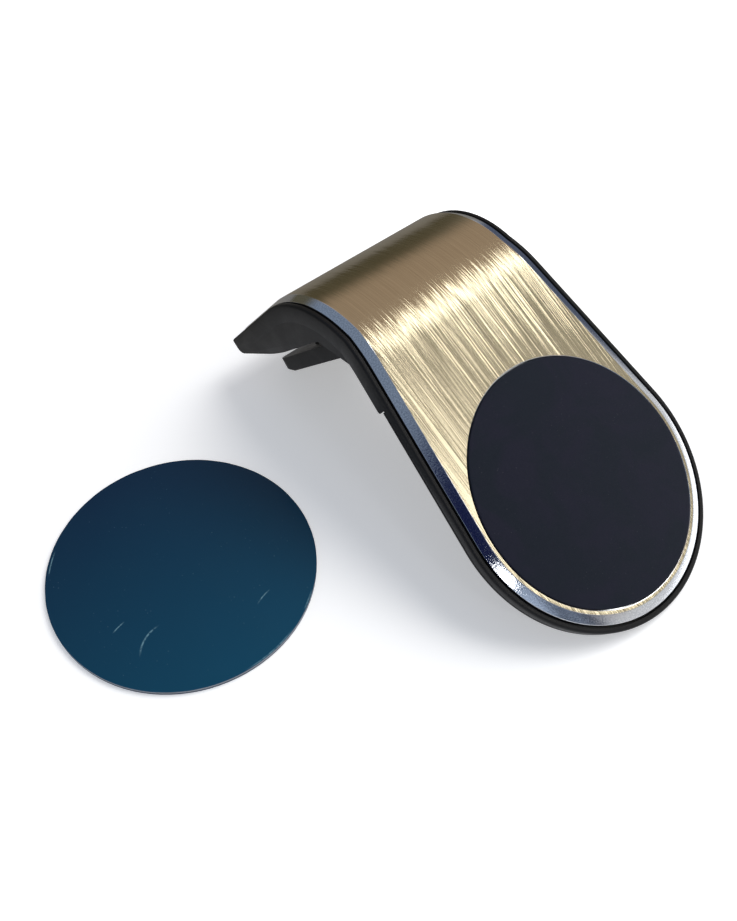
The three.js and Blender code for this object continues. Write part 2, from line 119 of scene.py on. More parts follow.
def addLights():
    aim = Vector((0, 0, 0.012))
    for name, light in lights.items():
        toward = Vector(light["toward"]).normalized()
        bpy.ops.object.light_add(type="AREA", location=aim + toward * light["away"])
        lamp = bpy.context.object
        lamp.name = name
        lamp.rotation_euler = toward.to_track_quat("Z", "Y").to_euler()
        lamp.data.shape = "RECTANGLE"
        lamp.data.size, lamp.data.size_y = light["size"]
        lamp.data.energy = light["watts"]
        lamp.data.color = light["tint"]
        lamp.visible_glossy = light["mirrored"]


addCamera(camera)
addLights()
bpy.context.scene.view_settings.view_transform = "Standard"
print("camera and lights are up")


def put(tree, kind, inputs=None, **settings):
    node = tree.nodes.new("ShaderNode" + kind)
    for name, value in settings.items():
        setattr(node, name, value)
    for name, value in (inputs or {}).items():
        if isinstance(value, bpy.types.NodeSocket):
            tree.links.new(value, node.inputs[name])
        else:
            node.inputs[name].default_value = value
    return node


def maths(tree, operation, a, b=0.0, clamp=False):
    return put(tree, "Math", {0: a, 1: b}, operation=operation, use_clamp=clamp).outputs[0]


def times(tree, a, b, clamp=False):
    return maths(tree, "MULTIPLY", a, b, clamp)


def plus(tree, a, b):
    return maths(tree, "ADD", a, b)


def minus(tree, a, b):
    return maths(tree, "SUBTRACT", a, b)


def flatDistance(tree, x, y):
    return maths(tree, "SQRT", plus(tree, times(tree, x, x), times(tree, y, y)))


def mapRange(tree, value, low, high, toLow=0.0, toHigh=1.0, kind="SMOOTHSTEP"):
    return put(tree, "MapRange", {"Value": value, "From Min": low, "From Max": high,
               "To Min": toLow, "To Max": toHigh}, interpolation_type=kind).outputs["Result"]


def ramp(tree, value, low, high, toLow=0.0, toHigh=1.0):
    return mapRange(tree, value, low, high, toLow, toHigh, "LINEAR")


def mixColours(tree, factor, a, b, blend="MIX"):
    a, b = [(*c, 1) if isinstance(c, tuple) else c for c in (a, b)]
    return put(tree, "Mix", {0: factor, 6: a, 7: b}, data_type="RGBA", blend_type=blend).outputs[2]


def noise(tree, vector, scale, detail=2.0, rough=0.5, distortion=0.0):
    return put(tree, "TexNoise", {"Vector": vector, "Scale": scale, "Detail": detail,
               "Roughness": rough, "Distortion": distortion}).outputs["Fac"]


sky = {"overhead": (0.19, 0.235, 0.31), "warm": (0.44, 0.35, 0.29), "front": (0.47, 0.455, 0.415),
       "dusk": (0.008, 0.012, 0.05), "glow": (0.42, 0.50, 0.64), "horizon": (0.70, 0.70, 0.71),
       "behind": (0.10, 0.09, 0.06), "right": (0.09, 0.105, 0.15), "bar": (0.015, 0.02, 0.04),
       "barAngles": (-86.5, -79.0), "barEdge": 3.4, "barCore": 1.8}


def addWorld():
    # pale near the horizon, bluish overhead, warm on the right, dark low behind
    world = bpy.data.worlds.new("studio")
    bpy.context.scene.world = world
    world.use_nodes = True
    tree = world.node_tree
    tree.nodes.clear()
    way = put(tree, "TexCoord").outputs["Generated"]
    x, y, z = put(tree, "SeparateXYZ", {0: way}).outputs
    overhead = mixColours(tree, mapRange(tree, x, 0.1, 0.45), sky["overhead"], sky["warm"])
    front = mixColours(tree, mapRange(tree, times(tree, y, -1), 0.0, 0.3), overhead, sky["front"])
    side = mixColours(tree, mapRange(tree, x, 0.25, 0.5), overhead, front)
    low = mapRange(tree, z, 0.40, 0.10)
    fromDusk = maths(tree, "ABSOLUTE", plus(tree, y, 0.53))
    dusk = times(tree, mapRange(tree, fromDusk, 0.14, 0.10), mapRange(tree, x, 0.12, 0.0))
    side = mixColours(tree, dusk, side, sky["dusk"])
    glow = times(tree, mapRange(tree, y, -0.74, -0.80), mapRange(tree, x, 0.3, 0.1))
    side = mixColours(tree, glow, side, sky["glow"])
    pale = mixColours(tree, low, side, sky["horizon"])
    behind = times(tree, mapRange(tree, y, 0.45, 0.72), mapRange(tree, z, 0.62, 0.30))
    whole = mixColours(tree, behind, pale, sky["behind"])
    bearing = maths(tree, "ARCTAN2", y, x)
    for angle in sky["barAngles"]:  # glazing bars in front
        fromBar = maths(tree, "ABSOLUTE", minus(tree, bearing, rad(angle)))
        bar = mapRange(tree, fromBar, rad(sky["barEdge"]), rad(sky["barCore"]))
        bar = times(tree, bar, mapRange(tree, y, -0.70, -0.85))
        whole = mixColours(tree, bar, whole, sky["bar"])
    right = times(tree, mapRange(tree, x, 0.80, 0.90), mapRange(tree, y, -0.15, -0.08))
    whole = mixColours(tree, right, whole, sky["right"])
    seen = put(tree, "Background", {"Color": (1, 1, 1, 1), "Strength": 1.0})
    felt = put(tree, "Background", {"Color": whole, "Strength": 1.0})
    ray = put(tree, "LightPath").outputs["Is Camera Ray"]
    both = put(tree, "MixShader", {0: ray, 1: felt.outputs[0], 2: seen.outputs[0]})
    put(tree, "OutputWorld", {"Surface": both.outputs[0]})


# the floor glows: painted light, near is its glow by the object and far its glow from farStarts on;
# dimBase and dimGlow are painted shade seen in reflections
ground = {"size": 4, "base": (0.86, 0.86, 0.86), "near": (0.40, 0.40, 0.40), "far": (1, 1, 1),
          "nearEnds": 50, "farStarts": 120, "dimBase": (0.20, 0.19, 0.17), "dimGlow": (0.06, 0.055, 0.05),
          "dimStarts": 25, "dimFull": 60}


def addFloor():
    bpy.ops.mesh.primitive_plane_add(size=ground["size"])
    floor = bpy.context.object
    floor.name = "floor"
    material, tree, shader = newMaterial("paleFloor")
    shader.inputs["Roughness"].default_value = 0.9
    shader.inputs["Specular IOR Level"].default_value = 0.1
    x, y, _ = put(tree, "SeparateXYZ", {0: objectPoint(tree)}).outputs
    # painted light: the floor glows, dimly near the object so the shade around it shows, and up to white
    # farther away
    glow = mapRange(tree, flatDistance(tree, x, y), ground["nearEnds"], ground["farStarts"])
    glossy = put(tree, "LightPath").outputs["Is Glossy Ray"]
    # painted shade: in reflections only, the floor behind is darker and glows less, so there is no glare
    # from behind
    dim = times(tree, glossy, mapRange(tree, y, ground["dimStarts"], ground["dimFull"]))
    lit = mixColours(tree, glow, ground["near"], ground["far"])
    tree.links.new(mixColours(tree, dim, lit, ground["dimGlow"]), shader.inputs["Emission Color"])
    base = mixColours(tree, dim, ground["base"], ground["dimBase"])
    tree.links.new(base, shader.inputs["Base Color"])
    shader.inputs["Emission Strength"].default_value = 1.0
    floor.data.materials.append(material)


def newMaterial(name):
    material = bpy.data.materials.new(name)
    material.use_nodes = True
    tree = material.node_tree
    return material, tree, tree.nodes["Principled BSDF"]


def feed(tree, shader, **values):
    names = {"base": "Base Color", "rough": "Roughness", "metal": "Metallic", "normal": "Normal",
             "specular": "Specular IOR Level", "coat": "Coat Weight", "coatRough": "Coat Roughness",
             "sheen": "Sheen Weight", "sheenRough": "Sheen Roughness"}
    for key, value in values.items():
        socket = shader.inputs[names[key]]
        if isinstance(value, bpy.types.NodeSocket):
            tree.links.new(value, socket)
        else:
            socket.default_value = (*value, 1) if isinstance(value, tuple) else value


def bump(tree, height, strength, distance):
    return put(tree, "Bump", {"Height": height, "Strength": strength,
               "Distance": distance}).outputs["Normal"]


def objectPoint(tree, offset=(0, 0, 0)):  # in millimetres
    point = put(tree, "TexCoord").outputs["Object"]
    return put(tree, "Mapping", {"Vector": point, "Scale": (1000, 1000, 1000),
               "Location": offset}).outputs["Vector"]


def newGroup(name, ins, outs):
    group = bpy.data.node_groups.new(name, "ShaderNodeTree")
    for label, kind, value in ins:
        socket = group.interface.new_socket(label, in_out="INPUT", socket_type="NodeSocket" + kind)
        socket.default_value = value
    for label, kind in outs:
        group.interface.new_socket(label, in_out="OUTPUT", socket_type="NodeSocket" + kind)
    return group, group.nodes.new("NodeGroupInput").outputs, group.nodes.new("NodeGroupOutput").inputs


def useGroup(tree, group, **inputs):
    return put(tree, "Group", inputs, node_tree=group).outputs


def stretched(tree, vector, across, alongLine):  # grain coordinates, long in y
    factor = put(tree, "CombineXYZ", {0: across, 1: alongLine, 2: 1.0}).outputs[0]
    return put(tree, "VectorMath", {0: vector, 1: factor}, operation="MULTIPLY").outputs[0]


def shifted(tree, vector, amount):
    return put(tree, "VectorMath", {0: vector, 1: (amount, amount * 1.7, amount * 0.6)},
               operation="ADD").outputs[0]


def makeBrushed():
    # fine lines along y: each line leans its own way, as brushed metal does
    tree, g, out = newGroup("brushedLines", [
        ("point", "Vector", (0, 0, 0)), ("fine", "Float", 5.0), ("coarse", "Float", 1.3),
        ("length", "Float", 0.06), ("spread", "Float", 0.3), ("lean", "Float", 0.3)],
        [("slope", "Color"), ("tone", "Float"), ("rough", "Float")])
    point = g["point"]
    fine = noise(tree, stretched(tree, point, g["fine"], g["length"]), 1.0, 3.0, 0.65)
    coarse = noise(tree, stretched(tree, shifted(tree, point, 31.0), g["coarse"], g["length"]),
                   1.0, 4.0, 0.7)
    leanFine = noise(tree, stretched(tree, shifted(tree, point, 77.0), g["fine"], g["length"]),
                     1.0, 2.0, 0.6)
    both = plus(tree, times(tree, coarse, 0.6), times(tree, leanFine, 0.4))
    across = maths(tree, "MULTIPLY_ADD", minus(tree, fine, 0.5), g["spread"])
    along = maths(tree, "MULTIPLY_ADD", minus(tree, both, 0.5), g["lean"])
    for leaning in (across, along):
        leaning.node.inputs[2].default_value = 0.5
    slope = put(tree, "CombineColor", {0: across, 1: along, 2: 1.0}).outputs[0]
    tree.links.new(slope, out["slope"])
    tree.links.new(plus(tree, times(tree, fine, 0.5), times(tree, both, 0.5)), out["tone"])
    tree.links.new(coarse, out["rough"])
    return tree


def makeMoulded():
    # spark-eroded plastic skin, with faint flow marks and handling smudges
    tree, g, out = newGroup("mouldedSkin", [
        ("point", "Vector", (0, 0, 0)), ("grain", "Float", 6.0), ("smudge", "Float", 0.12)],
        [("height", "Float"), ("tone", "Float"), ("smear", "Float")])
    grain = noise(tree, g["point"], g["grain"], 3.0, 0.6)
    cells = put(tree, "TexVoronoi", {"Vector": g["point"], "Scale": g["grain"]},
                feature="SMOOTH_F1").outputs["Distance"]
    tree.links.new(plus(tree, times(tree, grain, 0.6), times(tree, cells, 0.4)), out["height"])
    tree.links.new(noise(tree, shifted(tree, g["point"], 19.0), 0.35, 4.0, 0.6), out["tone"])
    tree.links.new(mapRange(tree, noise(tree, g["point"], g["smudge"], 3.0, 0.65, 1.5), 0.42, 0.72),
                   out["smear"])
    return tree


def makeDust():
    # dust and lint on faces that look up
    tree, g, out = newGroup("settledDust", [
        ("point", "Vector", (0, 0, 0)), ("specks", "Float", 2.2), ("amount", "Float", 0.5)],
        [("mask", "Float")])
    normal = put(tree, "NewGeometry").outputs["Normal"]
    up = put(tree, "SeparateXYZ", {0: normal}).outputs[2]
    facing = mapRange(tree, up, 0.2, 0.9)
    cells = put(tree, "TexVoronoi", {"Vector": g["point"], "Scale": g["specks"],
                "Randomness": 1.0}).outputs["Distance"]
    speck = mapRange(tree, cells, 0.13, 0.05)
    patch = mapRange(tree, noise(tree, g["point"], 0.25, 3.0, 0.6), 0.45, 0.75)
    mask = times(tree, times(tree, speck, patch), facing)
    tree.links.new(times(tree, mask, g["amount"], clamp=True), out["mask"])
    return tree


brushed = makeBrushed()
moulded = makeMoulded()
dust = makeDust()
addWorld()
addFloor()


goldLook = {"warm": (0.71, 0.635, 0.465), "warmer": (0.76, 0.685, 0.505), "valley": (0.60, 0.585, 0.57),
            "fine": 14.0, "coarse": 6.0, "length": 0.03, "spread": 0.26, "lean": 0.66,
            "smoothest": 0.15, "roughest": 0.24, "calmFrom": 34, "calmTo": 42, "calm": 0.30}


def makeGold():
    c = goldLook
    material, tree, shader = newMaterial("brushedGold")
    point = put(tree, "UVMap", uv_map="flat").outputs[0]
    lines = useGroup(tree, brushed, point=point, fine=c["fine"], coarse=c["coarse"],
                     length=c["length"], spread=c["spread"], lean=c["lean"])
    cloud = noise(tree, point, 0.06, 2.0, 0.5)
    warm = mixColours(tree, cloud, c["warm"], c["warmer"])
    tone = ramp(tree, lines["tone"], 0.3, 0.7)
    base = mixColours(tree, tone, mixColours(tree, 1.0, warm, c["valley"], "MULTIPLY"), warm)
    rough = ramp(tree, lines["rough"], 0.3, 0.7, c["smoothest"], c["roughest"])
    length = put(tree, "SeparateXYZ", {0: point}).outputs[1]
    # the bend was polished after brushing
    calm = mapRange(tree, length, c["calmFrom"], c["calmTo"], 1.0, c["calm"])
    normal = put(tree, "NormalMap", {"Color": lines["slope"], "Strength": calm},
                 uv_map="flat").outputs["Normal"]
    feed(tree, shader, base=base, rough=rough, metal=1.0, normal=normal)
    return material


cutLook = {"dull": (0.62, 0.65, 0.69), "bright": (0.86, 0.88, 0.91), "chatter": 3.2,
           "depth": 0.00004}


def makeCutEdge():
    material, tree, shader = newMaterial("diamondCutEdge")
    point = put(tree, "UVMap", uv_map="flat").outputs[0]
    chatter = noise(tree, point, cutLook["chatter"], 4.0, 0.75)
    speckle = mapRange(tree, noise(tree, shifted(tree, point, 12.0), 5.0, 3.0, 0.7), 0.40, 0.60)
    base = mixColours(tree, speckle, cutLook["dull"], cutLook["bright"])
    normal = bump(tree, chatter, 0.25, cutLook["depth"])
    feed(tree, shader, base=base, rough=ramp(tree, chatter, 0.3, 0.7, 0.04, 0.13),
         metal=1.0, normal=normal)
    return material


lintColour = (0.22, 0.21, 0.20)


def makePlastic(name, colour, rough, grain=7.0, depth=0.00003, dusty=0.35, shine=0.22):
    material, tree, shader = newMaterial(name)
    point = objectPoint(tree)
    skin = useGroup(tree, moulded, point=point, grain=grain, smudge=0.10)
    lint = useGroup(tree, dust, point=point, specks=2.4, amount=dusty)["mask"]
    lighter = tuple(c * 1.35 for c in colour)
    base = mixColours(tree, skin["tone"], colour, lighter)
    base = mixColours(tree, lint, base, lintColour)
    smooth = ramp(tree, skin["smear"], 0, 1, rough, rough - 0.10)
    feed(tree, shader, base=base, rough=plus(tree, smooth, times(tree, lint, 0.3)),
         specular=shine, normal=bump(tree, skin["height"], 0.35, depth))
    return material


padLook = {"dark": (0.0092, 0.0130, 0.0215), "pale": (0.0120, 0.0132, 0.0252),
           "lint": (0.16, 0.16, 0.17), "pebble": 1.9, "fine": 6.5, "depth": 0.00005}


def makePad():
    c = padLook
    material, tree, shader = newMaterial("padSkin")
    point = objectPoint(tree)
    pebble = put(tree, "TexVoronoi", {"Vector": point, "Scale": c["pebble"]},
                 feature="SMOOTH_F1").outputs[0]
    fine = noise(tree, point, c["fine"], 4.0, 0.65)
    height = plus(tree, times(tree, pebble, 0.5), times(tree, fine, 0.7))
    cloud = noise(tree, point, 0.11, 3.0, 0.6, 0.8)
    base = mixColours(tree, mapRange(tree, cloud, 0.35, 0.65), c["dark"], c["pale"])
    lint = useGroup(tree, dust, point=point, specks=1.7, amount=0.35)["mask"]
    base = mixColours(tree, lint, base, c["lint"])
    feed(tree, shader, base=base, rough=mapRange(tree, fine, 0.3, 0.7, 0.62, 0.76), specular=0.16,
         normal=bump(tree, height, 0.35, c["depth"]), sheen=0.03, sheenRough=0.5)
    return material


def makeSteel(name, colour, rough, scale):
    material, tree, shader = newMaterial(name)
    point = objectPoint(tree)
    grain = noise(tree, stretched(tree, point, scale * 2.0, scale * 0.12), 1.0, 3.0, 0.6)
    stain = noise(tree, shifted(tree, point, 5.0), 0.3, 4.0, 0.6)
    base = mixColours(tree, mapRange(tree, stain, 0.3, 0.7), colour, tuple(c * 0.82 for c in colour))
    feed(tree, shader, base=base, metal=1.0,
         rough=ramp(tree, grain, 0.3, 0.7, rough - 0.06, rough + 0.08),
         normal=bump(tree, grain, 0.2, 0.00002))
    return material


def makePaper(name, colour, darker, rough, fibre=4.0):
    material, tree, shader = newMaterial(name)
    point = objectPoint(tree)
    fibres = noise(tree, stretched(tree, point, fibre, fibre * 0.4), 1.0, 4.0, 0.7)
    feed(tree, shader, base=mixColours(tree, mapRange(tree, fibres, 0.35, 0.65), colour, darker),
         rough=ramp(tree, fibres, 0.3, 0.7, rough - 0.08, rough + 0.06),
         normal=bump(tree, fibres, 0.3, 0.00003))
    return material


# far and near: painted shade and light, the film's blue darker towards its back (+y) and lighter towards
# its front
filmLook = {"far": (0.0052, 0.0225, 0.0580), "near": (0.0062, 0.0680, 0.1320),
            "cloudy": (0.0050, 0.0480, 0.0860), "mark": (0.22, 0.42, 0.50), "lint": (0.12, 0.22, 0.30),
            "smoothest": 0.16, "roughest": 0.24, "depth": 0.0004}

# scuffs on the film: middle of each arc from the disc's middle, its radius, the angles it runs between
scuffs = [{"at": (-9.08, -10.69), "radius": 4.89, "from": 80, "to": 150, "wide": 0.10},
          {"at": (-11.17, -11.03), "radius": 9.0, "from": 93, "to": 109, "wide": 0.07},
          {"at": (6.99, -20.09), "radius": 8.0, "from": 91, "to": 114, "wide": 0.07},
          {"at": (0, 0), "radius": 19.55, "from": 130, "to": 144, "wide": 0.07},
          {"at": (0, 0), "radius": 19.80, "from": -66, "to": -55, "wide": 0.08},
          {"at": (0, 0), "radius": 19.85, "from": -102, "to": -74, "wide": 0.07}]


def makeFilm():
    c = filmLook
    material, tree, shader = newMaterial("blueFilm")
    point = objectPoint(tree, offset=tuple(-discMid * 1000))
    x, y, _ = put(tree, "SeparateXYZ", {0: point}).outputs
    marks = None
    for scuff in scuffs:
        u = minus(tree, x, scuff["at"][0])
        v = minus(tree, y, scuff["at"][1])
        off = maths(tree, "ABSOLUTE", minus(tree, flatDistance(tree, u, v), scuff["radius"]))
        line = mapRange(tree, off, scuff["wide"] * 2, 0.0)
        angle = maths(tree, "ARCTAN2", v, u)
        middle, half = rad(scuff["from"] + scuff["to"]) / 2, rad(scuff["to"] - scuff["from"]) / 2
        inside = mapRange(tree, maths(tree, "ABSOLUTE", minus(tree, angle, middle)),
                          half, half * 0.3)
        mark = times(tree, line, inside)
        marks = mark if marks is None else maths(tree, "MAXIMUM", marks, mark)
    broken = mapRange(tree, noise(tree, point, 2.5, 3.0, 0.7), 0.30, 0.60)
    marks = times(tree, marks, broken)
    hair = mapRange(tree, noise(tree, stretched(tree, point, 9.0, 0.25), 1.0, 2.0, 0.6), 0.70, 0.80)
    wave = noise(tree, point, 0.12, 2.0, 0.5)
    # painted shade and light: the blue darkens from the front of the disc to its back
    paintedShade = ramp(tree, y, 20, -20)
    base = mixColours(tree, paintedShade, c["far"], c["near"])
    base = mixColours(tree, times(tree, wave, 0.25), base, c["cloudy"])
    base = mixColours(tree, times(tree, marks, 0.75), base, c["mark"])
    lint = useGroup(tree, dust, point=point, specks=1.1, amount=0.5)["mask"]
    base = mixColours(tree, lint, base, c["lint"])
    rough = plus(tree, ramp(tree, wave, 0.3, 0.7, c["smoothest"], c["roughest"]),
                  times(tree, plus(tree, marks, hair), 0.25))
    height = plus(tree, times(tree, wave, 1.0), times(tree, marks, -0.15))
    feed(tree, shader, base=base, rough=rough, specular=0.16, coat=0.08, coatRough=0.08,
         normal=bump(tree, height, 0.25, c["depth"]))
    return material


gold = makeGold()
cutEdge = makeCutEdge()
shellPlastic = makePlastic("shellPlastic", (0.0070, 0.0072, 0.0080), 0.46)
coverPlastic = makePlastic("coverPlastic", (0.0066, 0.0068, 0.0074), 0.52, grain=5.0)
jawPlastic = makePlastic("jawPlastic", (0.0068, 0.0070, 0.0074), 0.50, grain=6.0)
silicone = makePlastic("silicone", (0.0080, 0.0082, 0.0090), 0.72, grain=9.0, depth=0.00002, dusty=0.6)
padSkin = makePad()
nickel = makeSteel("nickelPlating", (0.72, 0.70, 0.66), 0.22, 2.0)
yokeSteel = makeSteel("yokeSteel", (0.50, 0.51, 0.52), 0.38, 3.0)
pinSteel = makeSteel("pinSteel", (0.62, 0.63, 0.65), 0.24, 6.0)
springSteel = makeSteel("springSteel", (0.48, 0.47, 0.45), 0.30, 8.0)
screwSteel = makeSteel("screwSteel", (0.10, 0.10, 0.11), 0.36, 6.0)
# painted shade: the phone plate's steel is darkened past its own colour so the disc's thin edge reads as
# in shade
discSteel = makeSteel("discSteel", (0.20, 0.22, 0.26), 0.30, 3.0)
glueFilm = makePaper("glueFilm", (0.52, 0.52, 0.48), (0.44, 0.44, 0.40), 0.55)
# painted shade: the liner is darkened past its own pale colour so its thin edge under the disc reads as
# in shade
linerPaper = makePaper("linerPaper", (0.22, 0.26, 0.32), (0.17, 0.20, 0.26), 0.80)
blueFilm = makeFilm()
print("materials are mixed")


def solo(obj):
    bpy.ops.object.select_all(action="DESELECT")
    obj.select_set(True)
    bpy.context.view_layer.objects.active = obj


def openUp(obj):
    solo(obj)
    bpy.ops.object.mode_set(mode="EDIT")


def close():
    bpy.ops.object.mode_set(mode="OBJECT")


def grab(obj, kind, test):  # selects the vertices, edges or faces that pass the test
    bpy.ops.mesh.select_mode(type=kind)
    bpy.ops.mesh.select_all(action="DESELECT")
    shape = bmesh.from_edit_mesh(obj.data)
    for part in {"VERT": shape.verts, "EDGE": shape.edges, "FACE": shape.faces}[kind]:
        if test(part):
            part.select_set(True)
    bmesh.update_edit_mesh(obj.data)


def middle(part):
    return sum((v.co for v in part.verts), Vector()) / len(part.verts)


def allAt(part, z):  # every corner is at this height
    return all(abs(v.co.z - z) < 0.001 for v in part.verts)


def extrude(push):
    bpy.ops.mesh.extrude_region_move(TRANSFORM_OT_translate={"value": push})


def cutAcross(point, along):  # cuts the whole of the open mesh
    bpy.ops.mesh.select_all(action="SELECT")
    bpy.ops.mesh.bisect(plane_co=point, plane_no=along, threshold=0.0005)


def bevelEdges(obj, test, width, segments):
    grab(obj, "EDGE", test)
    bpy.ops.mesh.bevel(offset=width, segments=segments, affect="EDGES", clamp_overlap=True)


def sharpness(edge):
    return math.degrees(edge.calc_face_angle(0.0))


def startChain(name, point):  # one vertex, left in edit mode
    bpy.ops.object.select_all(action="DESELECT")
    bpy.ops.mesh.primitive_plane_add(size=1)
    obj = bpy.context.object
    obj.name = name
    bpy.ops.object.mode_set(mode="EDIT")
    bpy.ops.mesh.select_mode(type="VERT")
    bpy.ops.mesh.select_all(action="SELECT")
    bpy.ops.mesh.merge(type="CENTER")
    bpy.ops.transform.translate(value=point)
    return obj


def drawTo(obj, points):  # from the selected vertex, through the points
    shape = bmesh.from_edit_mesh(obj.data)
    here = next(v.co.copy() for v in shape.verts if v.select)
    for point in points:
        extrude(Vector(point) - here)
        here = Vector(point)


def fillChain(obj, push):  # closes the outline, fills it and pushes it out to a solid
    grab(obj, "VERT", lambda v: len(v.link_edges) == 1)
    bpy.ops.mesh.edge_face_add()
    bpy.ops.mesh.select_all(action="SELECT")
    bpy.ops.mesh.edge_face_add()
    bpy.ops.mesh.select_mode(type="FACE")
    bpy.ops.mesh.select_all(action="SELECT")
    extrude(push)
    bpy.ops.mesh.select_all(action="SELECT")
    bpy.ops.mesh.normals_make_consistent(inside=False)
    close()


def applyPlace(obj):
    solo(obj)
    bpy.ops.object.transform_apply(location=True, rotation=True, scale=True)
    return obj


def takeNew(name):  # the primitive that was just added
    obj = bpy.context.object
    obj.name = name
    return applyPlace(obj)


def rod(name, radius, low, high, x=0, y=0, sides=96):
    bpy.ops.object.select_all(action="DESELECT")
    bpy.ops.mesh.primitive_cylinder_add(vertices=sides, radius=radius, depth=high - low,
                                        location=(x, y, (low + high) / 2))
    return takeNew(name)


def crossRod(name, radius, low, high, sides):  # along x
    bpy.ops.object.select_all(action="DESELECT")
    bpy.ops.mesh.primitive_cylinder_add(vertices=sides, radius=radius, depth=high - low,
                                        location=((low + high) / 2, 0, 0), rotation=(0, rad(90), 0))
    return takeNew(name)


def brick(name, x, y, z):
    bpy.ops.object.select_all(action="DESELECT")
    size = Vector((x[1] - x[0], y[1] - y[0], z[1] - z[0]))
    bpy.ops.mesh.primitive_cube_add(size=1, location=((x[0] + x[1]) / 2, (y[0] + y[1]) / 2,
                                    (z[0] + z[1]) / 2), scale=size)
    return takeNew(name)


def combine(obj, other, how):
    solo(obj)
    join = obj.modifiers.new("join", "BOOLEAN")
    join.operation = how
    join.solver = "EXACT"
    join.object = other
    bpy.ops.object.modifier_apply(modifier=join.name)
    bpy.data.objects.remove(other)


def settle(obj, place, smoothBelow):  # out of millimetres, into its place
    solo(obj)
    obj.matrix_world = place @ Matrix.Scale(mm, 4)
    bpy.ops.object.transform_apply(location=True, rotation=True, scale=True)
    bpy.ops.object.shade_smooth_by_angle(angle=rad(smoothBelow))


def dress(obj, materials, body, slotName, *replaced):
    obj.data.materials.clear()
    for material in materials:
        obj.data.materials.append(material)
    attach(obj, body)
    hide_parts(*replaced)


def halfWidth(radius, s):
    t = rad(leg["taper"])
    return radius / math.cos(t) - math.tan(t) * min(s, taperEnd)


def heading(s):  # how far the leg has turned down by the length s
    ease = min(max((s - leg["flat"]) / leg["easeRadius"], 0), rad(leg["easeAngle"]))
    main = min(max((s - leg["flat"] - easeLength) / leg["bendRadius"], 0), rad(leg["bendAngle"]))
    return ease + main


def sideView(s, depth):  # point (y, z) of the leg's profile
    easeR, bendR = leg["easeRadius"], leg["bendRadius"]
    turn = heading(s)
    ease = min(turn, rad(leg["easeAngle"]))
    tab = max(s - bendEnd, 0)
    y = (min(s, leg["flat"]) + easeR * math.sin(ease) + bendR * (math.sin(turn) - math.sin(ease))
         + tab * math.cos(turn))
    z = easeR * (math.cos(ease) - 1) + bendR * (math.cos(turn) - math.cos(ease)) - tab * math.sin(turn)
    return y - depth * math.sin(turn), z - depth * math.cos(turn)


def stations():
    eased = [leg["flat"] + easeLength * i / leg["easeSteps"] for i in range(leg["easeSteps"])]
    bendStart, steps = leg["flat"] + easeLength, leg["bendSteps"]
    bent = [bendStart + bendLength * i / steps for i in range(steps + 1)]
    return eased + bent


def flatStrip(name, radius, end, top, bottom):
    # outline from above: round head, straight tapered sides, square end
    z = -bottom
    t = rad(leg["taper"])
    obj = startChain(name, (-radius * math.cos(t), radius * math.sin(t), z))
    sweep = math.pi + 2 * t
    arc = [math.pi - t + sweep * i / leg["headSteps"] for i in range(1, leg["headSteps"] + 1)]
    drawTo(obj, [(radius * math.cos(a), radius * math.sin(a), z) for a in arc])
    corners = [s for s in (taperEnd, end) if s <= end]
    right = [(halfWidth(radius, s), s, z) for s in corners]
    left = [(-halfWidth(radius, s), s, z) for s in reversed(corners)]
    drawTo(obj, right + left)
    fillChain(obj, (0, 0, bottom - top))
    return obj


def layFlatMap(obj):  # unbent x and length, in millimetres
    layer = obj.data.uv_layers[0] if obj.data.uv_layers else obj.data.uv_layers.new()
    layer.name = "flat"
    for loop in obj.data.loops:
        layer.data[loop.index].uv = obj.data.vertices[loop.vertex_index].co.xy


def curlOver(obj):  # cuts the strip across at each station and turns what lies beyond it
    marks = stations()
    openUp(obj)
    for s in marks:
        cutAcross((0, s, 0), (0, 1, 0))
    bpy.ops.mesh.select_mode(type="VERT")
    lengths = [v.co.y for v in bmesh.from_edit_mesh(obj.data).verts]
    step = marks[1] - marks[0]
    middles = [marks[0] - step] + [(a + b) / 2 for a, b in zip(marks, marks[1:])] + [marks[-1] + step]
    for i in reversed(range(len(marks))):
        turn = heading(middles[i + 1]) - heading(middles[i])
        bpy.ops.mesh.select_all(action="DESELECT")
        shape = bmesh.from_edit_mesh(obj.data)
        for vertex, length in zip(shape.verts, lengths):
            if length > marks[i] + 0.001:
                vertex.select = True
        shape.select_flush(True)
        bpy.ops.transform.rotate(value=turn, orient_axis="X", center_override=(0, marks[i], 0))
    close()


